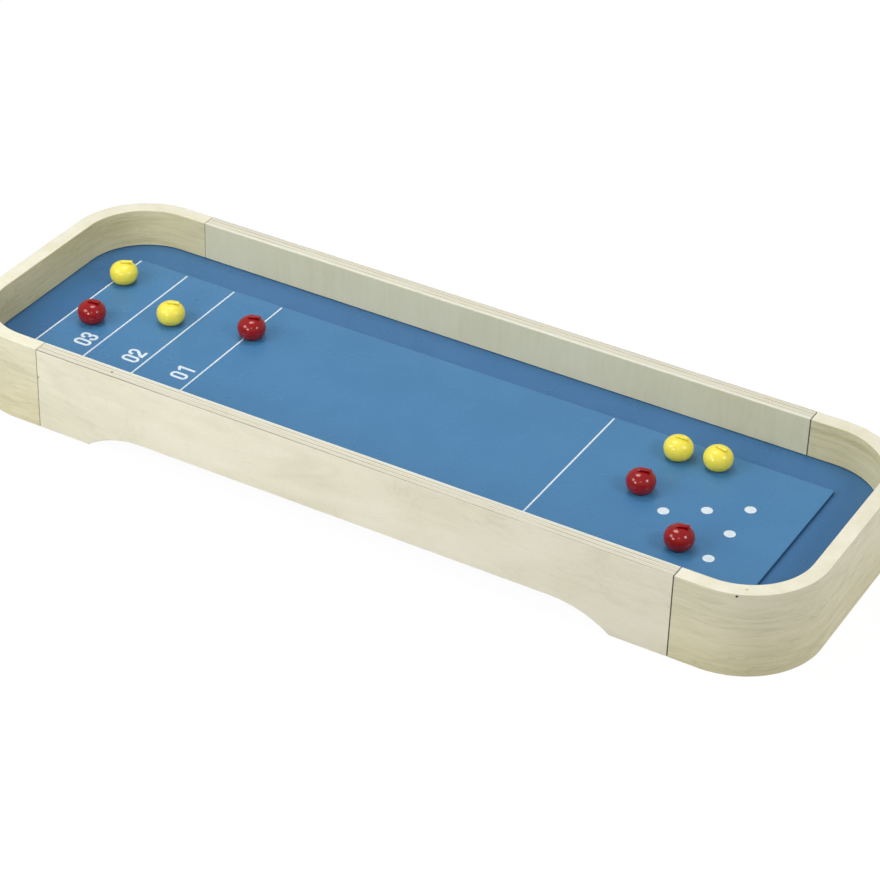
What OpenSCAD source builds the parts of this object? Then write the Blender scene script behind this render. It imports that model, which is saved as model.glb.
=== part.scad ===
// Table curling game: a long tray on two plywood rails and two bentwood ends,
// a raised blue lane with printed zones, and eight small stones that each roll on a steel ball.
// Origin: on the table under the middle of the tray. X runs along the lane towards the start line,
// Y goes across it to the far rail, Z is up.

/* [Tray] */
// Overall length over both bentwood ends
tray_len = 850; // [780:1:900]
// Overall width over both rails
tray_w = 286; // [280:1:320]
// Height of rails and ends
tray_h = 83.4; // [80:0.2:95]
// Thickness of the rails and of the bentwood
wall = 15; // [15:0.5:18]
// Length of each straight rail
rail_len = 640; // [620:1:645]
// Outer radius of the tray's corners
corner_r = 77; // [72:1:84]
// Height of the arch under each rail
arch_h = 19; // [10:1:24]
// Half length of the arch's flat top
arch_flat = 208; // [180:1:215]
// Half length of the arch at the foot
arch_half = 266; // [255:1:280]

/* [Boards] */
// Height of the base board's upper face, the gutter floor
base_top = 44.4; // [40:0.2:48]
// Thickness of the base board
base_t = 8; // [5:0.5:10]
// Depth of the groove that holds the base board
groove_d = 5; // [3:0.5:6]
// Thickness of the lane board
lane_t = 3; // [2:0.5:5]
// Length of the lane board
lane_len = 732; // [700:1:740]
// Width of the lane board
lane_w = 176; // [160:1:190]

/* [Printed marks] */
// Width of the printed lines
line_w = 1.6; // [1.4:0.1:4]
// Distance from one zone line to the next
zone_pitch = 54; // [48:1:58]
// Position of the start line along the lane
start_x = 150; // [120:1:180]
// Diameter of a printed dot
dot_d = 10.4; // [8:0.2:14]
// Height of the printed numerals
digit_h = 18; // [14:0.5:22]

/* [Stones] */
// Largest diameter of a stone
stone_d = 26.8; // [25.8:0.1:27.2]
// Height of a stone's body over the lane, without its handle
stone_h = 20.8; // [20.6:0.1:21.6]
// Radius of the rolling ball
ball_r = 4.5; // [4:0.1:4.6]
// Height of the seam between cap and cup over the lane
seam_z = 6.3; // [5.8:0.1:6.6]
// Gap between the lane and the cup
cup_gap = 1.6; // [1.4:0.1:2]

/* [Hidden] */
$fn = 64;

// colours, as the photograph shows them
c_ply = [0.91, 0.88, 0.78];
c_bent = [0.86, 0.82, 0.66];
c_base = [0.29, 0.46, 0.64];
c_lane = [0.36, 0.55, 0.72];
c_print = [0.90, 0.95, 0.97];
c_red = [0.66, 0.11, 0.12];
c_yellow = [0.94, 0.86, 0.30];
c_steel = [0.75, 0.76, 0.78];
c_dowel = [0.80, 0.66, 0.46];

// tray
half_l = tray_len / 2;
half_w = tray_w / 2;
rail_half = rail_len / 2;
mid_y = half_w - wall / 2;
corner_x = half_l - corner_r;
corner_y = half_w - corner_r;
edge = 0.8;                       // edge break on rails and ends
groove_gap = 0.6;                 // shadow gap over the base board
groove_z = base_top - base_t;
board_fit = 1;                    // room left at the groove's bottom
arch_run = arch_half - arch_flat;
arch_r = (arch_run * arch_run + arch_h * arch_h) / (2 * arch_h);
dowel_r = 4;
dowel_len = 38;
dowel_fit = 0.05;
dowel_end_room = 1;
dowel_heights = [17, 67];

// lane and marks
lane_top = base_top + lane_t;
lane_shift = -1.5;                // the lane sits a touch towards the scoring end
print_t = 0.1;
first_line_x = -366.4;
line_margin = 2.1;                // line end to lane edge
numeral_gap = 6.1;                // numeral foot to the line on its right
numeral_y = -68.4;
digit_w = 9.5;
digit_step = 10.8;
stroke = 2.8;
dot_apex = [251.6, -19.2];
dot_row = 31.5;
dot_step = 41.5;

// each stone's place: x, y, direction of the handle
red_1 = [-341.6, -28.9, 15];
red_2 = [-200.2, 27.6, 25];
red_3 = [220.9, -2.2, 21];
red_4 = [285.8, -59.2, 25];
yellow_1 = [-357.9, 45.6, 32];
yellow_2 = [-278.1, 8.6, 22];
yellow_3 = [225.7, 61.3, 6];
yellow_4 = [262.3, 65.7, -12];

// one stone, measured from the lane under its axis
side_r = 10.1;
side_c = stone_d / 2 - side_r;
widest_z = 10.2;
crown = stone_h - widest_z;
dome_r = (side_c * side_c + crown * crown - side_r * side_r) / (2 * (crown - side_r));
dome_z = stone_h - dome_r;
dome_edge = side_c / (dome_r - side_r);     // sine of the angle where side and dome meet
skin = 2;
ball_gap = 0.1;                   // play between the ball and its seat
ball_lift = print_t + 0.05;
ball_z = ball_lift + ball_r;
socket_r = ball_r + ball_gap;
boss_r = 6.2;
boss_top = 7.2;
floor_t = 1.8;
lip_h = 1.5;
lip_t = 1.4;
lip_fit = 0.1;
post_r = 3;
handle_rise = 2.1;                // handle's upper face over the crown
handle_droop = 2;                 // fall of the handle towards its tip
handle_w = 3.8;
handle_t = 1.9;
handle_round = 0.8;
handle_tip = 6.9;                 // centre of the rounded tip
neck_x = -0.9;
neck_r = 1.9;

// ---- tray ----

// upright section of the wall: thickness along x from the outer face, height along y
module wall_section() {
    difference() {
        polygon([[edge, 0], [wall - edge, 0], [wall, edge], [wall, tray_h - edge],
                 [wall - edge, tray_h], [edge, tray_h], [0, tray_h - edge], [0, edge]]);
        translate([wall - groove_d, groove_z])
            square([groove_d + 1, base_t + groove_gap]);
    }
}

// straight length of wall along +X, outer face on the -Y side
module straight_wall(len) {
    rotate([90, 0, 90])
        linear_extrude(len)
            wall_section();
}

// dowel axes at one joint, running along X from the joint's plane
module dowel_axes(side_x, side_y) {
    for (z = dowel_heights)
        translate([side_x * rail_half, side_y * mid_y, z])
            rotate([0, 90, 0])
                children();
}

module dowel_holes() {
    for (sx = [-1, 1], sy = [-1, 1])
        dowel_axes(sx, sy)
            cylinder(h = dowel_len + 2 * dowel_end_room, r = dowel_r + dowel_fit, center = true);
}

// space under the rail: flat top, round shoulders down to the feet
module arch_shape() {
    translate([-arch_flat, -1])
        square([2 * arch_flat, arch_h + 1]);
    for (s = [-1, 1])
        intersection() {
            translate([s * arch_flat, arch_h - arch_r])
                circle(r = arch_r, $fn = 180);
            translate([s > 0 ? arch_flat - 1 : -arch_half - 20, -1])
                square([arch_run + 21, arch_h + 1]);
        }
}

module rail() {
    difference() {
        translate([-rail_half, -half_w, 0])
            straight_wall(rail_len);
        translate([0, -half_w - 1, 0])
            rotate([90, 0, 0])
                translate([0, 0, -wall - 2])
                    linear_extrude(wall + 2)
                        arch_shape();
        dowel_holes();
    }
}

module near_rail() {
    color(c_ply)
        rail();
}

module far_rail() {
    color(c_ply)
        rotate([0, 0, 180])
            rail();
}

// U-shaped bentwood end: leg, corner, cross wall, corner, leg, bent from one board
module bent_end() {
    leg = corner_x - rail_half;
    difference() {
        union() {
            translate([rail_half, -half_w, 0])
                straight_wall(leg);
            rotate([0, 0, 180])
                translate([-rail_half - leg, -half_w, 0])
                    straight_wall(leg);
            translate([half_l, -corner_y, 0])
                rotate([0, 0, 90])
                    straight_wall(2 * corner_y);
            for (s = [-1, 1])
                translate([corner_x, s * corner_y, 0])
                    rotate_extrude(angle = 90, start = s > 0 ? 0 : -90, $fn = 160)
                        translate([corner_r, 0])
                            mirror([1, 0])
                                wall_section();
        }
        dowel_holes();
    }
}

module right_end() {
    color(c_bent)
        bent_end();
}

module left_end() {
    color(c_bent)
        rotate([0, 0, 180])
            bent_end();
}

module joint_dowels() {
    color(c_dowel)
        for (sx = [-1, 1], sy = [-1, 1])
            dowel_axes(sx, sy)
                cylinder(h = dowel_len, r = dowel_r, center = true);
}

// ---- boards ----

// plan of the tray drawn in from its outer face
module plan(inset) {
    square([tray_len - 2 * inset, 2 * corner_y], center = true);
    square([2 * corner_x, tray_w - 2 * inset], center = true);
    for (sx = [-1, 1], sy = [-1, 1])
        translate([sx * corner_x, sy * corner_y])
            circle(r = corner_r - inset, $fn = 160);
}

module base_board() {
    color(c_base)
        translate([0, 0, groove_z])
            linear_extrude(base_t)
                plan(wall - groove_d + board_fit);
}

module lane_board() {
    color(c_lane)
        translate([lane_shift - lane_len / 2, -lane_w / 2, base_top])
            cube([lane_len, lane_w, lane_t]);
}

// ---- printed marks, thin films on the lane ----

module film() {
    color(c_print)
        translate([0, 0, lane_top])
            linear_extrude(print_t)
                children();
}

function zone_x(i) = first_line_x + i * zone_pitch;

module cross_line(x) {
    translate([x - line_w / 2, -lane_w / 2 + line_margin])
        square([line_w, lane_w - 2 * line_margin]);
}

module zone_lines() {
    film() {
        for (i = [0:3])
            cross_line(zone_x(i));
        cross_line(start_x);
    }
}

// six dots in a triangle that points down the lane
module house_dots() {
    film()
        for (row = [0:2], k = [0:row])
            translate([dot_apex[0] + row * dot_row, dot_apex[1] + (k - row / 2) * dot_step])
                circle(d = dot_d);
}

// upright oval outline between two heights
module oval(low, high, inset) {
    r = digit_w / 2 - inset;
    translate([inset, low + digit_w / 2])
        square([2 * r, high - low - digit_w]);
    for (y = [low + digit_w / 2, high - digit_w / 2])
        translate([digit_w / 2, y])
            circle(r = r, $fn = 40);
}

module oval_stroke(low, high) {
    difference() {
        oval(low, high, 0);
        oval(low, high, stroke);
    }
}

module numeral_0() {
    oval_stroke(0, digit_h);
}

module numeral_1() {
    translate([digit_w - 1.4 - stroke, 0])
        square([stroke, digit_h]);
    polygon([[digit_w - 1.4 - stroke, digit_h], [1.4, digit_h - 2.6], [1.4, digit_h - 5.4],
             [digit_w - 1.4 - stroke, digit_h - 3.6]]);
}

module numeral_2() {
    low = digit_h - 2 * digit_w + 3;
    hook_end = digit_h - digit_w / 2 - 2.5;
    intersection() {
        oval_stroke(low, digit_h);
        union() {
            translate([0, digit_h - digit_w / 2 - 1.6])
                square([digit_w, digit_w]);
            translate([digit_w / 2, hook_end])
                square([digit_w, digit_w]);
        }
    }
    // slant and foot in one outline
    polygon([[digit_w - stroke, hook_end], [digit_w, hook_end], [digit_w - 0.6, hook_end - 1.7],
             [stroke + 0.6, stroke], [digit_w, stroke], [digit_w, 0], [0, 0], [0, stroke],
             [0.3, stroke + 1.4]]);
}

module numeral_3() {
    bowl = digit_h / 2 + stroke / 2;
    difference() {
        union() {
            oval_stroke(0, bowl);
            oval_stroke(digit_h - bowl, digit_h);
        }
        translate([-1, digit_w / 2 + 1.4])
            square([digit_w / 2, digit_h - digit_w - 2.8]);
    }
}

// numerals stand up towards the left end and read towards the far rail
module numeral_pair(line) {
    translate([zone_x(line) - numeral_gap, numeral_y])
        rotate(90) {
            numeral_0();
            translate([digit_step, 0])
                children();
        }
}

module zone_numbers() {
    film() {
        numeral_pair(1) numeral_3();
        numeral_pair(2) numeral_2();
        numeral_pair(3) numeral_1();
    }
}

// ---- stones ----

// half outline of the stone's round body, drawn in by the inset
module body_outline(inset) {
    intersection() {
        union() {
            translate([side_c, widest_z])
                circle(r = side_r - inset, $fn = 72);
            intersection() {
                translate([0, dome_z])
                    circle(r = dome_r - inset, $fn = 120);
                translate([0, widest_z])
                    square([(dome_r - inset) * dome_edge, stone_h]);
            }
            translate([0, widest_z - side_r + inset])
                square([side_c, side_r]);
        }
        square([stone_d, stone_h + 1]);
    }
}

module outline_between(low, high, inset) {
    intersection() {
        body_outline(inset);
        translate([0, low])
            square([stone_d, high - low]);
    }
}

module handle_section() {
    w = handle_w / 2 - handle_round;
    t = handle_t / 2 - handle_round;
    square([2 * w, handle_t], center = true);
    square([handle_w, 2 * t], center = true);
    for (sx = [-1, 1], sy = [-1, 1])
        translate([sx * w, sy * t])
            circle(r = handle_round, $fn = 16);
}

// low gooseneck: it rises from the crown behind the axis and reaches out over the front
module handle() {
    translate([0, 0, stone_h + handle_rise - handle_t / 2])
        rotate([0, handle_droop, 0]) {
            translate([neck_x, 0, 0])
                rotate([90, 0, 90])
                    linear_extrude(handle_tip - neck_x)
                        handle_section();
            translate([handle_tip, 0, 0])
                rotate_extrude($fn = 40)
                    intersection() {
                        handle_section();
                        translate([0, -handle_t])
                            square([handle_w, 2 * handle_t]);
                    }
            translate([neck_x, 0, -neck_r])
                rotate([90, 0, 0])
                    rotate_extrude(angle = 90, start = 90, $fn = 48)
                        translate([neck_r, 0])
                            rotate(90)
                                handle_section();
        }
}

// upper shell with its moulded handle and an inner post that keeps the ball down
module cap() {
    rotate_extrude($fn = 96)
        difference() {
            outline_between(seam_z, stone_h + 1, 0);
            outline_between(seam_z - 1, stone_h + 1, skin);
        }
    handle();
    post_z = ball_z + ball_r + ball_gap;
    translate([0, 0, post_z])
        cylinder(h = stone_h - skin / 2 - post_z, r = post_r);
}

// lower shell with the ball's socket; its lip fits inside the cap
module cup() {
    difference() {
        union() {
            rotate_extrude($fn = 96)
                difference() {
                    outline_between(cup_gap, seam_z, 0);
                    outline_between(cup_gap + floor_t, seam_z + 1, skin);
                }
            rotate_extrude($fn = 96)
                difference() {
                    union() {
                        outline_between(seam_z - lip_t, seam_z, skin / 2);
                        outline_between(seam_z - lip_t, seam_z + lip_h, skin + lip_fit);
                    }
                    outline_between(seam_z - 2 * lip_t, seam_z + lip_h + 1, skin + lip_fit + lip_t);
                }
            translate([0, 0, cup_gap])
                cylinder(h = boss_top - cup_gap, r = boss_r);
        }
        translate([0, 0, ball_z])
            sphere(r = socket_r, $fn = 64);
        translate([0, 0, ball_z])
            cylinder(h = boss_top, r = socket_r);
    }
}

module stone_at(place) {
    translate([place[0], place[1], lane_top])
        rotate([0, 0, place[2]])
            children();
}

module stone_cap(place, tint) {
    color(tint)
        stone_at(place)
            cap();
}

module stone_cup(place, tint) {
    color(tint)
        stone_at(place)
            cup();
}

module stone_ball(place) {
    color(c_steel)
        stone_at(place)
            translate([0, 0, ball_z])
                sphere(r = ball_r, $fn = 64);
}

near_rail();
far_rail();
left_end();
right_end();
joint_dowels();
base_board();
lane_board();
zone_lines();
zone_numbers();
house_dots();
stone_cap(red_1, c_red);  // red_1_cap
stone_cup(red_1, c_red);  // red_1_cup
stone_ball(red_1);  // red_1_ball
stone_cap(red_2, c_red);  // red_2_cap
stone_cup(red_2, c_red);  // red_2_cup
stone_ball(red_2);  // red_2_ball
stone_cap(red_3, c_red);  // red_3_cap
stone_cup(red_3, c_red);  // red_3_cup
stone_ball(red_3);  // red_3_ball
stone_cap(red_4, c_red);  // red_4_cap
stone_cup(red_4, c_red);  // red_4_cup
stone_ball(red_4);  // red_4_ball
stone_cap(yellow_1, c_yellow);  // yellow_1_cap
stone_cup(yellow_1, c_yellow);  // yellow_1_cup
stone_ball(yellow_1);  // yellow_1_ball
stone_cap(yellow_2, c_yellow);  // yellow_2_cap
stone_cup(yellow_2, c_yellow);  // yellow_2_cup
stone_ball(yellow_2);  // yellow_2_ball
stone_cap(yellow_3, c_yellow);  // yellow_3_cap
stone_cup(yellow_3, c_yellow);  // yellow_3_cup
stone_ball(yellow_3);  // yellow_3_ball
stone_cap(yellow_4, c_yellow);  // yellow_4_cap
stone_cup(yellow_4, c_yellow);  // yellow_4_cup
stone_ball(yellow_4);  // yellow_4_ball
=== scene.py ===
# Table curling game: a birch plywood and bentwood tray, a raised blue lane with printed zones,
# and eight small moulded stones that each roll on a steel ball. Lengths are in metres, from the
# table's top under the tray's middle: +X runs to the start line, +Y to the far rail and +Z up.
import math

import bmesh
import bpy
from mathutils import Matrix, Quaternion, Vector


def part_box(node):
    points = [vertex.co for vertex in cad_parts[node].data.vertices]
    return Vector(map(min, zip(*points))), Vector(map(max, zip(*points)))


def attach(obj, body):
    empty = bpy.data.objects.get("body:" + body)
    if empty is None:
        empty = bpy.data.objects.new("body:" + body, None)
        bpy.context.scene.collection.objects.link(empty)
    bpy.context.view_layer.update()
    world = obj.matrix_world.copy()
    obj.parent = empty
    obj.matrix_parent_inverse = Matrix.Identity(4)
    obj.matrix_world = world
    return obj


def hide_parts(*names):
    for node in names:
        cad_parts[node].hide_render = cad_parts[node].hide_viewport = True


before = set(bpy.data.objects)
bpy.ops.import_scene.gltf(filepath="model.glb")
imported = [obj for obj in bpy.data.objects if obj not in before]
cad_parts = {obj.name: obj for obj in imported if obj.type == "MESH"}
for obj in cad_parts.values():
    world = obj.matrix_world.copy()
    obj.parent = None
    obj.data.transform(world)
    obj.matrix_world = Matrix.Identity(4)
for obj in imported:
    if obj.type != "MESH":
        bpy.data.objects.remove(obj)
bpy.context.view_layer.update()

# The two straight rails. Each is a length of 15 mm birch plywood, sawn out below to an arch,
# grooved for the base board, its edges broken by sanding and finished with matt clear lacquer.
MM = 0.001
rail_low, rail_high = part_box("near_rail")
rail_end = rail_high.x
outer_y = -rail_low.y
inner_y = -rail_high.y
wall_top = rail_high.z
board_low, board_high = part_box("base_board")
groove_low = board_low.z
# the groove's roof stands clear of the board, which shows as a dark line along the wall, made
# darker by the painted shade on the groove's faces
groove_high = board_high.z + 0.8 * MM
groove_depth = 5 * MM
groove_y = inner_y + groove_depth
# the arch under a rail: its height, and how far from the middle its flat and its shoulders end
arch_height = 19 * MM
arch_flat = 208 * MM
arch_foot = 266 * MM
arch_run = arch_foot - arch_flat
edge_round = 0.9 * MM
joint_gap = 0.1 * MM
ARC_STEPS = 10


def to_linear(hex_code):
    """A hex colour as seen on a screen, as the linear colour that a shader takes."""
    parts = [int(hex_code[i:i + 2], 16) / 255 for i in (1, 3, 5)]
    return [p / 12.92 if p <= 0.04045 else ((p + 0.055) / 1.055) ** 2.4 for p in parts] + [1.0]


def start(add_primitive, name, scale=(1, 1, 1), **place):
    """Adds a primitive with nothing else selected, at its size and place, and names it."""
    bpy.ops.object.select_all(action="DESELECT")
    add_primitive(**place)
    piece = bpy.context.object
    piece.name = piece.data.name = name
    piece.scale = scale
    bpy.ops.object.transform_apply()
    return piece


def pick(piece, kind, test):
    """Selects, in edit mode, the vertices, edges or faces that pass the test, and nothing else."""
    bpy.ops.mesh.select_mode(type=kind)
    bpy.ops.mesh.select_all(action="DESELECT")
    mesh = bmesh.from_edit_mesh(piece.data)
    parts = {"VERT": mesh.verts, "EDGE": mesh.edges, "FACE": mesh.faces}[kind]
    chosen = [part for part in parts if test(part)]
    for part in chosen:
        part.select_set(True)
    bmesh.update_edit_mesh(piece.data)
    return len(chosen)


def section_of_wall(name, x):
    """The wall's upright section at x on the near side, as a loop of edges, left in edit mode."""
    piece = start(
        bpy.ops.mesh.primitive_plane_add, name, size=1, rotation=(0, math.pi / 2, 0),
        location=(x, -(outer_y + inner_y) / 2, wall_top / 2),
        scale=(wall_top, outer_y - inner_y, 1))
    bpy.ops.object.mode_set(mode="EDIT")
    cuts = (
        ((0, 0, groove_low), (0, 0, 1)),
        ((0, 0, groove_high), (0, 0, 1)),
        ((0, -groove_y, 0), (0, 1, 0)),
    )
    for point, normal in cuts:
        bpy.ops.mesh.select_all(action="SELECT")
        bpy.ops.mesh.bisect(plane_co=point, plane_no=normal)

    def in_groove(face):
        middle = face.calc_center_median()
        return middle.y > -groove_y and groove_low < middle.z < groove_high

    pick(piece, "FACE", in_groove)
    bpy.ops.mesh.delete(type="FACE")
    bpy.ops.mesh.select_all(action="SELECT")
    bpy.ops.mesh.dissolve_limited(angle_limit=0.01)
    bpy.ops.mesh.select_all(action="SELECT")
    bpy.ops.mesh.delete(type="ONLY_FACE")
    bpy.ops.mesh.select_mode(type="EDGE")
    bpy.ops.mesh.select_all(action="SELECT")
    return piece


def close_end(piece, at_end):
    """Fills the open section whose vertices pass the test."""
    pick(piece, "EDGE", lambda edge: all(at_end(v.co) for v in edge.verts))
    bpy.ops.mesh.edge_face_add()


def break_edges(piece):
    """Rounds every sharp edge but those of the groove, smooths the piece and leaves edit mode."""
    bpy.ops.mesh.select_all(action="SELECT")
    bpy.ops.mesh.remove_doubles(threshold=0.02 * MM)
    bpy.ops.mesh.normals_make_consistent(inside=False)

    def sharp(edge):
        if len(edge.link_faces) != 2 or edge.calc_face_angle() < math.radians(30):
            return False
        heights = [v.co.z for v in edge.verts]
        return not (groove_low - MM < min(heights) and max(heights) < groove_high + MM)

    pick(piece, "EDGE", sharp)
    bpy.ops.mesh.bevel(offset=edge_round, segments=3, affect="EDGES", clamp_overlap=True)
    bpy.ops.object.mode_set(mode="OBJECT")
    smooth(piece)


def smooth(piece):
    """Smooth shading that keeps the flat faces flat."""
    bpy.ops.object.select_all(action="DESELECT")
    piece.select_set(True)
    bpy.context.view_layer.objects.active = piece
    bpy.ops.object.shade_smooth_by_angle(angle=math.radians(40))
    bpy.ops.object.modifier_add(type="WEIGHTED_NORMAL")
    weighted = piece.modifiers[-1]
    weighted.keep_sharp = True
    bpy.ops.object.modifier_apply(modifier=weighted.name)


def arch_rise(x):
    """Height of the rail's lower edge at x: flat in the middle, round shoulders to the feet."""
    radius = (arch_run * arch_run + arch_height * arch_height) / (2 * arch_height)
    past = abs(x) - arch_flat
    if past <= 0:
        return arch_height
    return arch_height - radius + math.sqrt(radius * radius - past * past)


def rail(name):
    """One rail, on the near side: the section pulled along X, then cut and raised to the arch."""
    left = -rail_end + joint_gap
    right = rail_end - joint_gap
    piece = section_of_wall(name, left)
    bpy.ops.mesh.extrude_edges_move(TRANSFORM_OT_translate={"value": (right - left, 0, 0)})
    close_end(piece, lambda co: co.x > right - MM / 10)
    close_end(piece, lambda co: co.x < left + MM / 10)
    turns = [i / ARC_STEPS * math.pi / 2 for i in range(ARC_STEPS + 1)]
    stations = [arch_flat + arch_run * math.sin(turn) for turn in turns]
    for station in stations:
        for side in (-1, 1):
            bpy.ops.mesh.select_all(action="SELECT")
            bpy.ops.mesh.bisect(plane_co=(side * station, 0, 0), plane_no=(1, 0, 0))
    for station in stations:
        pick(piece, "VERT", lambda v: v.co.z < MM / 100 and abs(abs(v.co.x) - station) < MM / 100)
        bpy.ops.transform.translate(value=(0, 0, arch_rise(station)))
    break_edges(piece)
    return piece


def feed(tree, made, inputs):
    """Sets a node's sockets, by name or, from a list, in their order. Each gets a value, a socket's
    output, or the first live output of a node."""
    pairs = inputs.items() if isinstance(inputs, dict) else enumerate(inputs)
    for socket, value in pairs:
        if isinstance(value, bpy.types.Node):
            value = next(output for output in value.outputs if output.enabled)
        if isinstance(value, bpy.types.NodeSocket):
            tree.links.new(value, made.inputs[socket])
        else:
            made.inputs[socket].default_value = value


def add(tree, kind, inputs=(), stops=(), **settings):
    """Adds one node, with its settings, its sockets and the stops of its ramp."""
    made = tree.nodes.new("ShaderNode" + kind)
    for name, value in settings.items():
        setattr(made, name, value)
    feed(tree, made, inputs)
    for i, (place, colour) in enumerate(stops):
        stop = made.color_ramp.elements[i] if i < 2 else made.color_ramp.elements.new(place)
        stop.position = place
        stop.color = to_linear(colour)
    return made


def finish_of(name):
    """A new material, with its node tree and its shader."""
    material = bpy.data.materials.new(name)
    material.use_nodes = True
    return material, material.node_tree, material.node_tree.nodes["Principled BSDF"]


def per_mm(x, y, z):
    """Mapping scale at which one feature of a pattern is x, y and z millimetres long."""
    return [1 / (x * MM), 1 / (y * MM), 1 / (z * MM)]


def joint_shade(tree, place, left, right):
    """Shade and dust in the butt joints: 1 outside them, the left or the right value within."""
    along = add(tree, "SeparateXYZ", [place]).outputs["X"]
    reach = add(tree, "Math", [along], operation="ABSOLUTE")
    past_joint = add(tree, "Math", [reach, rail_end], operation="SUBTRACT")
    apart = add(tree, "Math", [past_joint], operation="ABSOLUTE")
    depth = add(tree, "MapRange", [along, -rail_end, rail_end, left, right])
    return add(tree, "MapRange", [apart, 0.3 * MM, 0.8 * MM, depth, 1.0])


def arris_shade(tree, place, depth):
    """The face veneer's darker end at the upper arris: the depth at the left, none at the right."""
    axes = add(tree, "SeparateXYZ", [place]).outputs
    deep = add(tree, "MapRange", [axes["X"], -200 * MM, 150 * MM, depth, 1.0])
    return add(tree, "MapRange", [
        axes["Z"], wall_top - 0.55 * MM, wall_top - 0.45 * MM, 1.0, deep])


def lacquered_veneer(
        name, tones, streak, fibre, curl, figure=0.93, bottom="#FFFFFF", spots=(), arris=1.0):
    """Rotary-cut veneer under matt clear lacquer: soft clouds, growth streaks, curls, open fibres.
    tones run from late to early wood; streak, fibre and curl are sizes in mm along X, Y, Z.
    figure and arris say how dark the curls and the upper arris get, bottom tints the lower part."""
    material, tree, surface = finish_of(name)
    place = add(tree, "TexCoord").outputs["Object"]
    clouds = add(tree, "TexNoise", {
        "Vector": add(tree, "Mapping", {"Vector": place, "Scale": per_mm(110, 110, 45)}),
        "Scale": 1.0, "Detail": 2.0, "Roughness": 0.5})
    streaks = add(tree, "TexNoise", {
        "Vector": add(tree, "Mapping", {"Vector": place, "Scale": per_mm(*streak)}),
        "Scale": 1.0, "Detail": 4.0, "Roughness": 0.6, "Distortion": 1.1})
    fibres = add(tree, "TexNoise", {
        "Vector": add(tree, "Mapping", {"Vector": place, "Scale": per_mm(*fibre)}),
        "Scale": 1.0, "Detail": 2.0, "Roughness": 0.5})
    specks = add(tree, "TexNoise", {
        "Vector": add(tree, "Mapping", {"Vector": place, "Scale": per_mm(1.6, 1.6, 1.1)}),
        "Scale": 1.0, "Detail": 2.0, "Roughness": 0.7})
    half_clouds = add(tree, "Math", [clouds, 0.45], operation="MULTIPLY")
    tone = add(tree, "Math", [streaks, 0.55, half_clouds], operation="MULTIPLY_ADD")
    late, middling, early = tones
    colour = add(tree, "ValToRGB", [tone], stops=[(0.32, late), (0.7, early), (0.5, middling)])
    # the curls are the contour lines of a distorted noise, drawn where the clouds let them show
    swirl = add(tree, "TexNoise", {
        "Vector": add(tree, "Mapping", {"Vector": place, "Scale": per_mm(*curl)}),
        "Scale": 1.0, "Detail": 3.0, "Roughness": 0.55, "Distortion": 1.6})
    off_line = add(tree, "Math", [swirl, 0.5], operation="SUBTRACT")
    off_line = add(tree, "Math", [off_line], operation="ABSOLUTE")
    showing = add(tree, "MapRange", [clouds, 0.4, 0.6, figure, 0.99])
    shades = (
        add(tree, "MapRange", [off_line, 0.0, 0.035, showing, 1.0]),
        add(tree, "MapRange", [fibres, 0.35, 0.7, 0.975, 1.0]),
        add(tree, "MapRange", [specks, 0.3, 0.5, 0.95, 1.0]),
        joint_shade(tree, place, left=0.88, right=0.16),
        arris_shade(tree, place, arris),
    )
    # a colour Mix takes its share at socket 0 and its two colours at 6 and 7
    for shade in shades:
        both = {0: 1.0, 6: colour, 7: shade}
        colour = add(tree, "Mix", both, data_type="RGBA", blend_type="MULTIPLY")
    for centre, radius, ink in spots:
        colour = spot(tree, place, colour, centre, radius, ink)
    height = add(tree, "SeparateXYZ", [place]).outputs["Z"]
    low = add(tree, "MapRange", [height, 0.0, wall_top * 0.75, 1.0, 0.0])
    tint = {0: low, 6: colour, 7: to_linear(bottom)}
    feed(tree, surface, {
        "Base Color": add(tree, "Mix", tint, data_type="RGBA", blend_type="MULTIPLY"),
        "Roughness": add(tree, "MapRange", [fibres, 0.3, 0.7, 0.62, 0.5]),
        "Specular IOR Level": 0.3,
        "Normal": add(tree, "Bump", {"Height": fibres, "Strength": 0.1, "Distance": 0.08 * MM})})
    return material


def spot(tree, place, colour, centre, radius, ink):
    """One small mark on the surface, its edge slightly soft; centre and radius are in mm."""
    away = add(tree, "VectorMath", [place, [c * MM for c in centre]], operation="DISTANCE")
    cover = add(tree, "MapRange", [away, radius * 0.6 * MM, radius * 1.2 * MM, 1.0, 0.0])
    return add(tree, "Mix", {0: cover, 6: colour, 7: to_linear(ink)}, data_type="RGBA")


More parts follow.
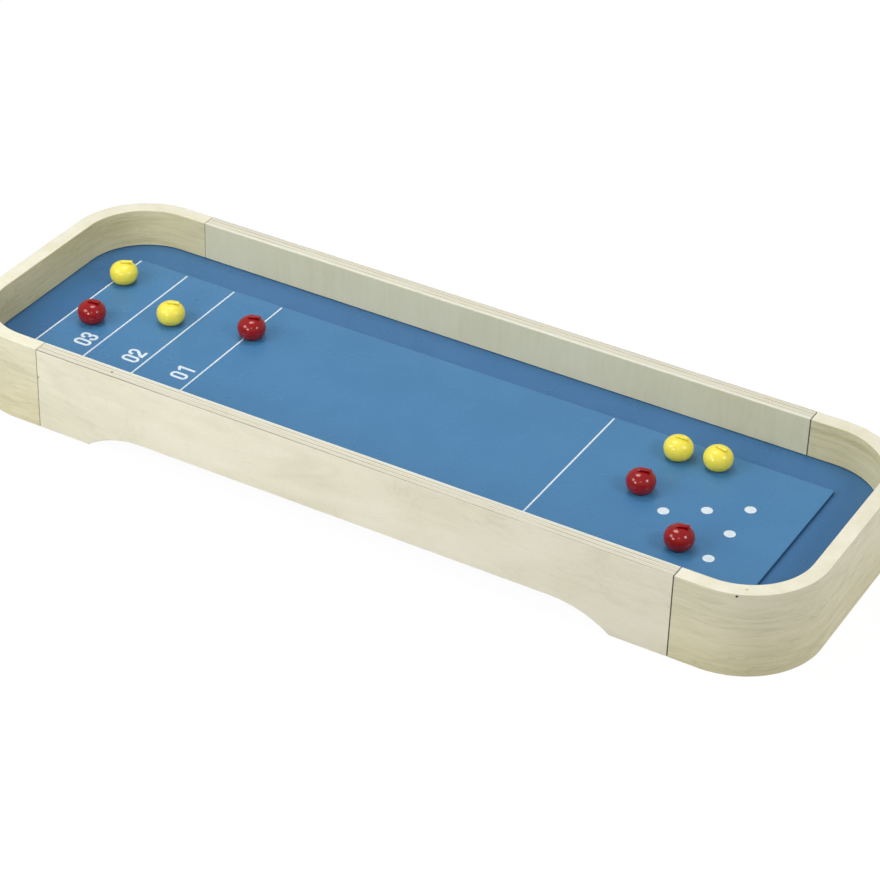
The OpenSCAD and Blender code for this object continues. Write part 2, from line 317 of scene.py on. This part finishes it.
def plywood_edge():
    """The plywood's sawn and sanded edge: pale plies, thin brown glue lines that fade in and out
    along the rail, and short pores."""
    material, tree, surface = finish_of("birch_plywood_edge")
    place = add(tree, "TexCoord").outputs["Object"]
    across = add(tree, "SeparateXYZ", [place]).outputs["Y"]
    side = add(tree, "Math", [across], operation="ABSOLUTE")
    depth = add(tree, "MapRange", [side, outer_y, inner_y, 0.0, 1.0])
    waver = add(tree, "TexNoise", {
        "Vector": add(tree, "Mapping", {"Vector": place, "Scale": per_mm(60, 6, 30)}),
        "Scale": 1.0, "Detail": 3.0})
    shifted = add(tree, "Math", [depth, 0.01], operation="SUBTRACT")
    moved = add(tree, "Math", [waver, 0.02, shifted], operation="MULTIPLY_ADD")
    pale = "#EDEAD6"
    light = "#F0EEDC"
    warm = "#E9E2C5"
    line = "#857B63"
    thin = "#A9A089"
    # the ramp runs from the wall's outer face to its inner one, over the sheet's 15 mm
    plies = add(tree, "ValToRGB", [moved], stops=[
        (0.0, "#7A7261"), (1.0, "#EEF0E6"), (0.045, "#7A7261"), (0.06, "#D0CDBE"), (0.1, "#DEDBC9"),
        (0.19, warm), (0.215, thin), (0.235, pale), (0.34, warm), (0.36, line), (0.39, line),
        (0.4, light), (0.49, warm), (0.52, thin), (0.54, pale), (0.66, warm), (0.68, line),
        (0.705, line), (0.715, light), (0.79, warm), (0.81, thin), (0.83, light), (0.9, "#EEF0E6")])
    plain = add(tree, "ValToRGB", [depth], stops=[(0.0, "#DCDACB"), (0.9, "#ECEADD")])
    breaks = add(tree, "TexNoise", {
        "Vector": add(tree, "Mapping", {"Vector": place, "Scale": per_mm(80, 2.2, 80)}),
        "Scale": 1.0, "Detail": 3.0, "Roughness": 0.6})
    shown = add(tree, "MapRange", [breaks, 0.4, 0.6, 0.35, 1.0])
    colour = add(tree, "Mix", {0: shown, 6: plain, 7: plies}, data_type="RGBA")
    stain = add(tree, "TexNoise", {
        "Vector": add(tree, "Mapping", {"Vector": place, "Scale": per_mm(26, 2.2, 26)}),
        "Scale": 1.0, "Detail": 2.0})
    warmth = add(tree, "MapRange", [stain, 0.58, 0.78, 0.0, 0.5])
    colour = add(tree, "Mix", {0: warmth, 6: colour, 7: to_linear("#EADBAE")}, data_type="RGBA")
    pores = add(tree, "TexNoise", {
        "Vector": add(tree, "Mapping", {"Vector": place, "Scale": per_mm(4, 0.6, 4)}),
        "Scale": 1.0, "Detail": 2.0})
    shades = (
        add(tree, "MapRange", [pores, 0.35, 0.6, 0.94, 1.0]),
        # the near rail is a tone darker than the far one
        add(tree, "MapRange", [across, -inner_y, inner_y, 0.955, 1.0]),
        joint_shade(tree, place, left=0.85, right=0.5),
    )
    for shade in shades:
        both = {0: 1.0, 6: colour, 7: shade}
        colour = add(tree, "Mix", both, data_type="RGBA", blend_type="MULTIPLY")
    feed(tree, surface, {
        "Base Color": spot(tree, place, colour, (-240.4, -136.6, wall_top / MM), 1.3, "#9A6A50"),
        "Roughness": 0.62,
        "Specular IOR Level": 0.25,
        "Normal": add(tree, "Bump", {"Height": pores, "Strength": 0.15, "Distance": 0.08 * MM})})
    return material


def painted_groove_shade():
    """The groove's raw birch faces, coloured near-black and faintly mottled as painted shade in the
    gap between wall and board.
    """
    material, tree, surface = finish_of("groove_painted_shade")
    place = add(tree, "TexCoord").outputs["Object"]
    shade_mottle = add(tree, "TexNoise", {
        "Vector": add(tree, "Mapping", {"Vector": place, "Scale": per_mm(9, 9, 2)}),
        "Scale": 1.0, "Detail": 3.0})
    feed(tree, surface, {
        "Base Color": add(tree, "ValToRGB", [shade_mottle], stops=[(0.35, "#1C2228"), (0.65, "#30363A")]),
        "Roughness": 0.75,
        "Normal": add(tree, "Bump", {"Height": shade_mottle, "Strength": 0.3, "Distance": 0.1 * MM})})
    return material


knot = ((-319, -143, wall_top / MM - 29), 1.5, "#A39577")
outer_veneer = lacquered_veneer(
    "birch_face_veneer", ("#CCC8B2", "#D5D1BC", "#DBD7C6"),
    streak=(90, 90, 24), fibre=(16, 16, 0.9), curl=(95, 95, 40), arris=0.4, spots=(knot,))
inner_veneer = lacquered_veneer(
    "birch_back_veneer", ("#DFDAB9", "#E5E1C1", "#EAE6CA"),
    streak=(14, 14, 110), fibre=(0.9, 0.9, 20), curl=(60, 60, 160), figure=0.98)
ply_edge = plywood_edge()
# the groove's faces get a near-black painted shade
groove_shade_material = painted_groove_shade()
# the tray's core reaches to the joints and to the centres of the four corners
corner_round = 77 * MM
core = Vector((rail_end, outer_y - corner_round, 0))


def faces_inward(face):
    """True for a face that looks to the tray's middle, told by the way out from the tray's core."""
    middle = face.center
    nearest = Vector([max(-c, min(c, m)) for c, m in zip(core, middle)])
    way_out = middle - nearest
    way_out.z = 0
    return face.normal.dot(way_out) < 0


# the four materials' places on each piece of wall
OUTSIDE, INSIDE, RIM, GROOVE = range(4)


def dress(piece, outside, inside, rims, is_rim):
    """Gives the four kinds of face their materials: outer side, inner side, sawn rims, groove."""
    for material in (outside, inside, rims, groove_shade_material):
        piece.data.materials.append(material)
    for face in piece.data.polygons:
        inward = faces_inward(face)
        beside_groove = groove_low - MM / 10 < face.center.z < groove_high + MM / 10
        if beside_groove and (inward or abs(face.normal.z) > 0.8):
            face.material_index = GROOVE
        elif is_rim(face.normal):
            face.material_index = RIM
        else:
            face.material_index = INSIDE if inward else OUTSIDE


near_rail = rail("plywood_rail_near")
dress(near_rail, outer_veneer, inner_veneer, ply_edge, lambda normal: abs(normal.y) < 0.5)
bpy.ops.object.duplicate()
far_rail = bpy.context.object
far_rail.name = far_rail.data.name = "plywood_rail_far"
far_rail.rotation_euler.z = math.pi
bpy.ops.object.transform_apply()
for piece, node in ((near_rail, "near_rail"), (far_rail, "far_rail")):
    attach(piece, "tray")
    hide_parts(node)

# The two U-shaped ends. Each is one board bent round two corners, with the same groove for the
# base board; it butts against the rails on hidden dowels and has the same matt lacquer.
end_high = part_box("right_end")[1]
corner_x = end_high.x - corner_round
corner_y = end_high.y - corner_round
CORNER_STEPS = 28


def bent_end(name):
    """The right end: the wall's section is pulled along its leg, spun round a corner, pulled
    across, spun round the other corner and pulled back."""
    piece = section_of_wall(name, rail_end + joint_gap)
    leg = corner_x - rail_end - joint_gap
    near = MM / 50

    def last_ring(test):
        pick(piece, "EDGE", lambda edge: all(test(v.co) for v in edge.verts))

    def pull(x, y):
        bpy.ops.mesh.extrude_edges_move(TRANSFORM_OT_translate={"value": (x, y, 0)})

    def turn_round(centre_y):
        bpy.ops.mesh.spin(
            steps=CORNER_STEPS, angle=-math.pi / 2, center=(corner_x, centre_y, 0), axis=(0, 0, 1))

    pull(leg, 0)
    last_ring(lambda co: abs(co.x - corner_x) < near)
    turn_round(-corner_y)
    last_ring(lambda co: abs(co.y + corner_y) < near)
    pull(0, 2 * corner_y)
    last_ring(lambda co: abs(co.y - corner_y) < near)
    turn_round(corner_y)
    last_ring(lambda co: abs(co.x - corner_x) < near and co.y > corner_y)
    pull(-leg, 0)
    for side in (-1, 1):
        close_end(piece, lambda co: abs(co.x - rail_end - joint_gap) < near and co.y * side > 0)
    break_edges(piece)
    return piece


def bent_rim():
    """The bent board's sanded upper and lower edges: near-white birch with a few tan flecks."""
    material, tree, surface = finish_of("bent_birch_edge")
    place = add(tree, "TexCoord").outputs["Object"]
    tone = add(tree, "TexNoise", {
        "Vector": add(tree, "Mapping", {"Vector": place, "Scale": per_mm(30, 30, 20)}),
        "Scale": 1.0, "Detail": 5.0, "Roughness": 0.7})
    plain = add(tree, "ValToRGB", [tone], stops=[(0.35, "#E7E2C7"), (0.65, "#F2EEDA")])
    flecks = add(tree, "TexNoise", {
        "Vector": add(tree, "Mapping", {"Vector": place, "Scale": per_mm(7, 7, 4)}),
        "Scale": 1.0, "Detail": 3.0, "Roughness": 0.7, "Distortion": 0.5})
    cover = add(tree, "MapRange", [flecks, 0.68, 0.76, 0.0, 0.55])
    colour = add(tree, "Mix", {0: cover, 6: plain, 7: to_linear("#D9C79C")}, data_type="RGBA")
    both = {0: 1.0, 6: colour, 7: joint_shade(tree, place, left=0.85, right=0.5)}
    colour = add(tree, "Mix", both, data_type="RGBA", blend_type="MULTIPLY")
    feed(tree, surface, {
        "Base Color": spot(tree, place, colour, (378.4, -128, wall_top / MM), 1.4, "#CDBB93"),
        "Roughness": 0.6,
        "Specular IOR Level": 0.25,
        "Normal": add(tree, "Bump", {"Height": flecks, "Strength": 0.1, "Distance": 0.08 * MM})})
    return material


black_dot = ((374.5, -138.3, wall_top / MM - 2), 1.25, "#14100C")
bent_outside = lacquered_veneer(
    "bent_birch_outside", ("#BEB99C", "#CDC8AE", "#D6D1BC"), streak=(55, 55, 6),
    fibre=(18, 18, 0.8), curl=(80, 80, 12), figure=0.88, bottom="#FDFBEF", spots=(black_dot,))
bent_inside = lacquered_veneer(
    "bent_birch_inside", ("#D3C896", "#E4DBB0", "#EFE7C4"), streak=(70, 70, 6),
    fibre=(20, 20, 0.8), curl=(80, 80, 12), figure=0.88)
right_end = bent_end("bentwood_end_right")
dress(right_end, bent_outside, bent_inside, bent_rim(), lambda normal: abs(normal.z) > 0.8)
bpy.ops.object.duplicate()
left_end = bpy.context.object
left_end.name = left_end.data.name = "bentwood_end_left"
left_end.rotation_euler.z = math.pi
bpy.ops.object.transform_apply()
for piece, node in ((right_end, "right_end"), (left_end, "left_end")):
    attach(piece, "tray")
    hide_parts(node)

# The dowels that pin the ends to the rails: round beech pegs, two to a joint, glued in and hidden
# once the tray is together. They stay the frame's own solids.
def beech_peg():
    """Turned beech: warm tan with fine darker flecks along the peg."""
    material, tree, surface = finish_of("beech_dowel")
    place = add(tree, "TexCoord").outputs["Object"]
    flecks = add(tree, "TexNoise", {
        "Vector": add(tree, "Mapping", {"Vector": place, "Scale": per_mm(4, 0.5, 0.5)}),
        "Scale": 1.0, "Detail": 3.0})
    feed(tree, surface, {
        "Base Color": add(tree, "ValToRGB", [flecks], stops=[(0.35, "#A9814F"), (0.6, "#CBA874")]),
        "Roughness": 0.6,
        "Normal": add(tree, "Bump", {"Height": flecks, "Strength": 0.2, "Distance": 0.1 * MM})})
    return material


def repaint(node, material):
    """Gives a solid of the frame a better material."""
    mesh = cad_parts[node].data
    for i in range(len(mesh.materials)):
        mesh.materials[i] = material


repaint("joint_dowels", beech_peg())

# The two boards. A thin base board fills the tray's plan and runs in the grooves, and a lane board
# is glued on top of it, leaving a gutter all round. Both are fibreboard with sprayed satin paint.
def sprayed_paint(name, tones, gloss):
    """Satin paint sprayed on board: an even colour, faintly cloudy, with a fine orange peel."""
    material, tree, surface = finish_of(name)
    place = add(tree, "TexCoord").outputs["Object"]
    clouds = add(tree, "TexNoise", {
        "Vector": add(tree, "Mapping", {"Vector": place, "Scale": per_mm(55, 55, 55)}),
        "Scale": 1.0, "Detail": 4.0, "Roughness": 0.6})
    # real orange peel is about 1 mm across; drawn at 1.6 mm so that it shows
    peel = add(tree, "TexNoise", {
        "Vector": add(tree, "Mapping", {"Vector": place, "Scale": per_mm(1.6, 1.6, 1.6)}),
        "Scale": 1.0, "Detail": 1.0})
    feed(tree, surface, {
        "Base Color": add(tree, "ValToRGB", [clouds], stops=[(0.3, tones[0]), (0.7, tones[1])]),
        "Roughness": add(tree, "MapRange", [clouds, 0.3, 0.7, gloss + 0.05, gloss]),
        "Specular IOR Level": 0.42,
        "Normal": add(tree, "Bump", {"Height": peel, "Strength": 0.06, "Distance": 0.1 * MM})})
    return material


def board(name, node, corner, arris, segments):
    """A flat board in a node's box, its upright corners rounded in plan and its arrises eased."""
    low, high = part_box(node)
    piece = start(
        bpy.ops.mesh.primitive_cube_add, name, size=1, location=(low + high) / 2, scale=high - low)
    bpy.ops.object.mode_set(mode="EDIT")
    pick(piece, "EDGE", lambda e: abs(e.verts[0].co.z - e.verts[1].co.z) > (high.z - low.z) / 2)
    bpy.ops.mesh.bevel(offset=corner, segments=segments, affect="EDGES")
    pick(piece, "EDGE", lambda e: e.calc_face_angle(0) > math.radians(60))
    bpy.ops.mesh.bevel(offset=arris, segments=3, affect="EDGES")
    bpy.ops.object.mode_set(mode="OBJECT")
    smooth(piece)
    return piece


base = board("base_board_painted", "base_board", corner=66 * MM, arris=0.4 * MM, segments=24)
base.data.materials.append(
    sprayed_paint("blue_satin_paint_base", ("#396EA0", "#3E73A6"), gloss=0.24))
lane = board("lane_board_painted", "lane_board", corner=1.2 * MM, arris=0.5 * MM, segments=4)
lane.data.materials.append(
    sprayed_paint("blue_satin_paint_lane", ("#467FAD", "#4B84B2"), gloss=0.25))
# the lane board's sawn edge gets a duller paint, coloured darker than its face as painted shade on
# its side faces
lane.data.materials.append(
    sprayed_paint("blue_paint_edge_painted_shade", ("#2A5078", "#305A84"), gloss=0.5))
for face in lane.data.polygons:
    if abs(face.normal.z) < 0.3:
        face.material_index = 1
for piece, node, slot in ((base, "base_board", "base_paint"), (lane, "lane_board", "lane_paint")):
    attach(piece, "tray")
    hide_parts(node)

# The printed marks: four zone lines, the start line, the numbers and six dots, screen-printed on
# the lane in one coat of white ink. They stay the frame's own thin films.
def printed_ink():
    """White screen ink on blue: thin where the coat is short, with the screen's fine texture."""
    material, tree, surface = finish_of("white_screen_ink")
    place = add(tree, "TexCoord").outputs["Object"]
    coat = add(tree, "TexNoise", {
        "Vector": add(tree, "Mapping", {"Vector": place, "Scale": per_mm(2.5, 2.5, 2.5)}),
        "Scale": 1.0, "Detail": 4.0, "Roughness": 0.7})
    feed(tree, surface, {
        "Base Color": add(tree, "ValToRGB", [coat], stops=[(0.3, "#CBDCE8"), (0.55, "#E6EFF4")]),
        "Roughness": 0.5,
        "Specular IOR Level": 0.35,
        "Normal": add(tree, "Bump", {"Height": coat, "Strength": 0.1, "Distance": 0.05 * MM})})
    return material


ink = printed_ink()
for node in ("zone_lines", "zone_numbers", "house_dots"):
    repaint(node, ink)

# The stones: a cap with a low gooseneck handle moulded in one with it, and a cup pressed into it
# from below, which holds the ball. Both are glossy injection-moulded polystyrene.

# Heights are over the lane, and distances from the stone's own axis. The side and the belly are two
# arcs that meet at the widest point; the dome closes the side at the top.
side_round = 10.1 * MM
side_centre = 3.3 * MM
belly_round = 12.85 * MM
belly_centre = side_centre + side_round - belly_round
widest = 10.2 * MM
stone_height = 20.8 * MM
skin = 2 * MM
seam = 6.3 * MM
seam_ease = 0.34 * MM
ball_round = 4.5 * MM
socket_round = ball_round + 0.1 * MM
ball_height = 4.65 * MM
lane_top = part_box("lane_board")[1].z
crown = stone_height - widest
dome_round = (side_centre ** 2 + crown ** 2 - side_round ** 2) / (2 * (crown - side_round))
dome_low = stone_height - dome_round
dome_edge = math.asin(side_centre / (dome_round - side_round))
SPIN_STEPS = 96


def arc(centre, radius, first, last, steps):
    """Points (distance, height) on an arc; its angles are measured from straight out, upwards."""
    turns = [first + (last - first) * i / steps for i in range(steps + 1)]
    return [(centre[0] + radius * math.cos(t), centre[1] + radius * math.sin(t)) for t in turns]


def belly_at(height, inset):
    """The belly's angle at a height, when the belly is drawn in by the inset."""
    return math.asin((height - widest) / (belly_round - inset))


def wall_at(height, inset):
    """The belly's distance from the axis at a height."""
    return belly_centre + (belly_round - inset) * math.cos(belly_at(height, inset))


def belly(inset, low, high, steps):
    """The belly from a low height to a high one."""
    centre = (belly_centre, widest)
    return arc(centre, belly_round - inset, belly_at(low, inset), belly_at(high, inset), steps)


def shell_side(inset, low, high_angle, steps=16):
    """The belly from a height up to the widest point, then the side up to an angle."""
    side = arc((side_centre, widest), side_round - inset, 0, high_angle, steps)
    return belly(inset, low, widest, steps // 3) + side[1:]


def lathe(name, outline, closed):
    """Draws the outline point by point beside the axis and spins it all the way round."""
    piece = start(bpy.ops.mesh.primitive_plane_add, name, size=MM)
    bpy.ops.object.mode_set(mode="EDIT")
    bpy.ops.mesh.select_mode(type="VERT")
    bpy.ops.mesh.select_all(action="SELECT")
    bpy.ops.mesh.merge(type="CENTER")
    bpy.ops.transform.translate(value=(outline[0][0], 0, outline[0][1]))
    for (r, z), (next_r, next_z) in zip(outline, outline[1:]):
        step = (next_r - r, 0, next_z - z)
        bpy.ops.mesh.extrude_region_move(TRANSFORM_OT_translate={"value": step})
    if closed:
        first, last = (Vector((r, 0, z)) for r, z in (outline[0], outline[-1]))
        pick(piece, "VERT", lambda v: min((v.co - first).length, (v.co - last).length) < MM / 1000)
        bpy.ops.mesh.edge_face_add()
    bpy.ops.mesh.select_all(action="SELECT")
    bpy.ops.mesh.spin(steps=SPIN_STEPS, angle=2 * math.pi, center=(0, 0, 0), axis=(0, 0, 1))
    bpy.ops.mesh.select_all(action="SELECT")
    bpy.ops.mesh.remove_doubles(threshold=0.005 * MM)
    bpy.ops.mesh.normals_make_consistent(inside=False)
    bpy.ops.object.mode_set(mode="OBJECT")
    return piece


def cap_shell():
    """The cap without its handle: post on the axis, inner skin, seam, outer skin."""
    post = 3 * MM
    post_low = ball_height + socket_round
    inner_dome = dome_round - skin
    post_angle = math.acos(post / inner_dome)
    quarter = math.pi / 2
    side_end = quarter - dome_edge
    outline = [(0, post_low), (post, post_low)]
    outline += arc((0, dome_low), inner_dome, post_angle, side_end, 8)
    outline += shell_side(skin, seam, side_end)[::-1][1:]
    outline.append((wall_at(seam, 0) - seam_ease, seam))
    outline += shell_side(0, seam + seam_ease, side_end, 22)
    outline += arc((0, dome_low), dome_round, side_end, quarter, 14)[1:]
    return lathe("stone_cap", outline, closed=False)


def cup_shell():
    """The cup: outer skin, the lip that presses into the cap, floor, boss, ball socket and foot."""
    foot = 0.9 * MM
    floor_top = 3.4 * MM
    boss = 6.2 * MM
    boss_top = 7.2 * MM
    lip_low = 4.9 * MM
    lip_top = 7.8 * MM
    lip_out = skin + 0.1 * MM
    lip_in = lip_out + 1.4 * MM
    socket_low = math.asin((foot - ball_height) / socket_round)
    outline = belly(0, foot + seam_ease, seam - seam_ease, 14)
    outline.append((wall_at(seam, 0) - seam_ease, seam))
    outline += [(wall_at(z, lip_out), z) for z in (seam, lip_top)]
    outline += [(wall_at(z, lip_in), z) for z in (lip_top, lip_low)]
    outline += [(wall_at(z, skin), z) for z in (lip_low, floor_top)]
    outline += [(boss, floor_top), (boss, boss_top), (socket_round, boss_top)]
    outline += arc((0, ball_height), socket_round, 0, socket_low, 10)
    outline.append((wall_at(foot, 0) - seam_ease, foot))
    return lathe("stone_cup", outline, closed=True)


def gooseneck():
    """The handle: a block in the crown, spun forward through a quarter turn, pulled out and rounded
    at the tip. It is drawn level about its own origin, then drooped and set on the crown."""
    width = 3.8 * MM
    thickness = 1.9 * MM
    rounding = 0.78 * MM
    bend = 1.9 * MM
    neck = -0.9 * MM
    tip = 6.9 * MM + width / 2
    root = -2.7 * MM
    rise = 2.1 * MM
    droop = math.radians(2)
    near = MM / 100
    piece = start(
        bpy.ops.mesh.primitive_cube_add, "handle", size=1,
        location=(neck - bend, 0, (root - bend) / 2), scale=(thickness, width, -bend - root))
    bpy.ops.object.mode_set(mode="EDIT")
    pick(piece, "FACE", lambda face: face.normal.z > 0.9)
    bpy.ops.mesh.delete(type="ONLY_FACE")
    pick(piece, "EDGE", lambda edge: all(abs(v.co.z + bend) < near for v in edge.verts))
    bpy.ops.mesh.spin(steps=12, angle=-math.pi / 2, center=(neck, 0, -bend), axis=(0, 1, 0))
    if pick(piece, "EDGE", lambda edge: all(abs(v.co.x - neck) < near for v in edge.verts)) != 4:
        raise SystemExit("the handle's bend came out another way")
    bpy.ops.mesh.extrude_edges_move(TRANSFORM_OT_translate={"value": (tip - neck, 0, 0)})
    pick(piece, "EDGE", lambda edge: all(abs(v.co.x - tip) < near for v in edge.verts))
    bpy.ops.mesh.edge_face_add()
    bpy.ops.mesh.select_all(action="SELECT")
    bpy.ops.mesh.normals_make_consistent(inside=False)

    def upright_at_tip(edge):
        at_tip = all(abs(v.co.x - tip) < near for v in edge.verts)
        return at_tip and abs(edge.verts[0].co.z - edge.verts[1].co.z) > MM

    pick(piece, "EDGE", upright_at_tip)
    bpy.ops.mesh.bevel(offset=width * 0.46, segments=8, affect="EDGES")

    def sharp_above_root(edge):
        above = max(v.co.z for v in edge.verts) > root + near
        return above and edge.calc_face_angle(0) > math.radians(60)

    pick(piece, "EDGE", sharp_above_root)
    bpy.ops.mesh.bevel(offset=rounding, segments=4, affect="EDGES", clamp_overlap=True)
    bpy.ops.object.mode_set(mode="OBJECT")
    piece.rotation_euler.y = droop
    piece.location.z = stone_height + rise - thickness / 2
    bpy.ops.object.transform_apply()
    return piece


def moulded(name, tones, inner, rough):
    """Glossy moulded polystyrene: faint flow marks in the pigment, a clear gloss, a sink ripple.
    inner is the share of the light that passes into the plastic and out again."""
    material, tree, surface = finish_of(name)
    place = add(tree, "TexCoord").outputs["Object"]
    flow = add(tree, "TexNoise", {
        "Vector": add(tree, "Mapping", {"Vector": place, "Scale": per_mm(7, 7, 3)}),
        "Scale": 1.0, "Detail": 3.0, "Distortion": 0.8})
    ripple = add(tree, "TexNoise", {
        "Vector": add(tree, "Mapping", {"Vector": place, "Scale": per_mm(4, 4, 4)}),
        "Scale": 1.0, "Detail": 1.0})
    # painted shade: the colour darkens at the pressed joint between cap and cup, which is also
    # matt, and much more towards the foot, under the stone
    height = add(tree, "SeparateXYZ", [place]).outputs["Z"]
    from_seam = add(tree, "Math", [height, lane_top + seam], operation="SUBTRACT")
    from_seam = add(tree, "Math", [from_seam], operation="ABSOLUTE")
    shades = (
        add(tree, "MapRange", [from_seam, 0.2 * MM, 0.5 * MM, 0.62, 1.0]),
        add(tree, "MapRange", [height, lane_top + 1.5 * MM, lane_top + 4.6 * MM, 0.3, 1.0]),
    )
    colour = add(tree, "ValToRGB", [flow], stops=[(0.3, tones[0]), (0.7, tones[1])])
    for shade in shades:
        both = {0: 1.0, 6: colour, 7: shade}
        colour = add(tree, "Mix", both, data_type="RGBA", blend_type="MULTIPLY")
    gloss = add(tree, "MapRange", [flow, 0.3, 0.7, rough, rough + 0.06])
    feed(tree, surface, {
        "Base Color": colour,
        "Roughness": add(tree, "MapRange", [from_seam, 0.5 * MM, 0.8 * MM, 0.6, gloss]),
        "IOR": 1.5,
        "Subsurface Weight": inner,
        "Subsurface Scale": 2 * MM,
        "Normal": add(tree, "Bump", {"Height": ripple, "Strength": 0.12, "Distance": 0.25 * MM})})
    return material


def bearing_steel():
    """Polished bearing steel: bright, with hair-fine rolling scratches."""
    material, tree, surface = finish_of("bearing_steel")
    place = add(tree, "TexCoord").outputs["Object"]
    scratches = add(tree, "TexNoise", {
        "Vector": add(tree, "Mapping", {"Vector": place, "Scale": per_mm(3, 0.2, 0.6)}),
        "Scale": 1.0, "Detail": 3.0})
    tones = [(0.3, "#B4B6B9"), (0.7, "#D2D4D6")]
    feed(tree, surface, {
        "Base Color": add(tree, "ValToRGB", [scratches], stops=tones),
        "Metallic": 1.0,
        "Roughness": add(tree, "MapRange", [scratches, 0.3, 0.7, 0.22, 0.1])})
    return material


cup_pattern = cup_shell()
smooth(cup_pattern)
cap_pattern = cap_shell()
handle = gooseneck()
bpy.ops.object.select_all(action="DESELECT")
cap_pattern.select_set(True)
bpy.context.view_layer.objects.active = cap_pattern
bpy.ops.object.modifier_add(type="BOOLEAN")
union = cap_pattern.modifiers[-1]
union.operation = "UNION"
union.solver = "EXACT"
union.object = handle
bpy.ops.object.modifier_apply(modifier=union.name)
bpy.data.objects.remove(handle)
smooth(cap_pattern)

red = moulded("red_polystyrene", ("#920B0E", "#9E1013"), inner=0.0, rough=0.1)
yellow = moulded("yellow_polystyrene", ("#FAE84C", "#FFEF5E"), inner=0.1, rough=0.2)
steel = bearing_steel()
# each handle's turn, in degrees, from pointing along the lane to the start line's end
handle_turns = {
    "red_1": 15, "red_2": 25, "red_3": 21, "red_4": 25,
    "yellow_1": 32, "yellow_2": 22, "yellow_3": 6, "yellow_4": -12,
}
for stone, turn in handle_turns.items():
    plastic = red if stone.startswith("red") else yellow
    ball_low, ball_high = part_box(stone + "_ball")
    middle = (ball_low + ball_high) / 2
    for pattern, shell in ((cap_pattern, "_cap"), (cup_pattern, "_cup")):
        bpy.ops.object.select_all(action="DESELECT")
        pattern.select_set(True)
        bpy.context.view_layer.objects.active = pattern
        bpy.ops.object.duplicate()
        piece = bpy.context.object
        piece.name = piece.data.name = stone + shell + "_moulded"
        piece.rotation_euler.z = math.radians(turn)
        piece.location = (middle.x, middle.y, lane_top)
        bpy.ops.object.transform_apply()
        piece.data.materials.clear()
        piece.data.materials.append(plastic)
        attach(piece, stone + "_stone")
        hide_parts(stone + shell)
    repaint(stone + "_ball", steel)
bpy.data.objects.remove(cap_pattern)
bpy.data.objects.remove(cup_pattern)

# The floor: a wide sheet of matt white paper that the tray stands on. It shows white to the camera
# and in reflections, and keeps a faint part of the tray's shadow.
def white_paper():
    """White paper with a weak fibre texture. It glows for the camera and for reflections, and what
    is left of its own shade keeps the tray's shadow."""
    material, tree, surface = finish_of("white_paper")
    place = add(tree, "TexCoord").outputs["Object"]
    pulp = add(tree, "TexNoise", {
        "Vector": add(tree, "Mapping", {"Vector": place, "Scale": per_mm(8, 8, 8)}),
        "Scale": 1.0, "Detail": 3.0})
    feed(tree, surface, {
        "Base Color": add(tree, "ValToRGB", [pulp], stops=[(0.3, "#E2E2E0"), (0.7, "#E6E6E4")]),
        "Roughness": 0.9})
    glow_share = 0.93
    ray = add(tree, "LightPath").outputs
    seen = add(tree, "Math", [ray["Is Camera Ray"], ray["Is Glossy Ray"]], operation="MAXIMUM")
    seen = add(tree, "Math", [seen, ray["Is Transmission Ray"]], operation="MAXIMUM")
    share = add(tree, "Math", [seen, glow_share], operation="MULTIPLY")
    glow = add(tree, "Emission", {"Color": to_linear("#FFFFFF"), "Strength": 1.03})
    both = add(tree, "MixShader", [share, surface, glow])
    feed(tree, tree.nodes["Material Output"], {"Surface": both})
    return material


floor_size = 14
floor = start(bpy.ops.mesh.primitive_plane_add, "floor", size=floor_size)
floor.data.materials.append(white_paper())

# The studio: even white surroundings, a round softbox above and a little behind the tray, four
# smaller ones whose glints show on the stones, and two low strips beside the tray's outer faces.
world = bpy.data.worlds.new("studio")
bpy.context.scene.world = world
world.use_nodes = True
sky = world.node_tree
ray = add(sky, "LightPath").outputs
seen = add(sky, "Math", [ray["Is Camera Ray"], ray["Is Transmission Ray"]], operation="MAXIMUM")
feed(sky, sky.nodes["Background"], {
    "Color": to_linear("#FFFFFF"),
    "Strength": add(sky, "MapRange", [seen, 0.0, 1.0, 0.44, 1.0])})


def softbox(name, place, size, power, height=None):
    """A softbox at a place in metres, facing the tray's middle: round, or a strip with a height."""
    bpy.ops.object.light_add(type="AREA", location=place)
    lamp = bpy.context.object
    lamp.name = name
    lamp.data.shape = "RECTANGLE" if height else "DISK"
    lamp.data.size = size
    lamp.data.size_y = height or size
    lamp.data.energy = power
    lamp.rotation_euler = (-Vector(place)).to_track_quat("-Z", "Y").to_euler()


softbox("overhead", (-0.45, 0.37, 1.77), size=0.7, power=9)
softbox("right", (1.43, -0.12, 1.12), size=0.5, power=5.6)
softbox("over_camera", (0.91, -1.9, 1.99), size=0.4, power=2.8)
softbox("front", (-0.22, -1.19, 0.59), size=0.38, power=3.7)
softbox("left", (-0.98, -1.03, 1.09), size=0.75, power=8)
softbox("front_strip", (-0.35, -0.9, 0.05), size=0.5, power=0.8, height=0.07)
softbox("right_strip", (1.0, 0.3, 0.05), size=0.5, power=0.9, height=0.07)

# The camera, at the photograph's place: the angles were found from the tray's own edges and marks.
azimuth = math.radians(29.2269)
elevation = math.radians(34.0105)
roll = math.radians(1.7096)
aim = Vector((0.0015938, 0.0320143, 0.0014))
distance = 2.648486
reach = math.cos(elevation)
back = Vector((math.sin(azimuth) * reach, -math.cos(azimuth) * reach, math.sin(elevation)))
bpy.ops.object.camera_add(location=aim + back * distance)
camera = bpy.context.object
camera.rotation_euler = ((-back).to_track_quat("-Z", "Y") @ Quaternion((0, 0, 1), roll)).to_euler()
camera.data.sensor_width = 36
camera.data.lens = 118.547
camera.data.clip_end = 50
bpy.context.scene.camera = camera
bpy.context.scene.view_settings.view_transform = "Standard"
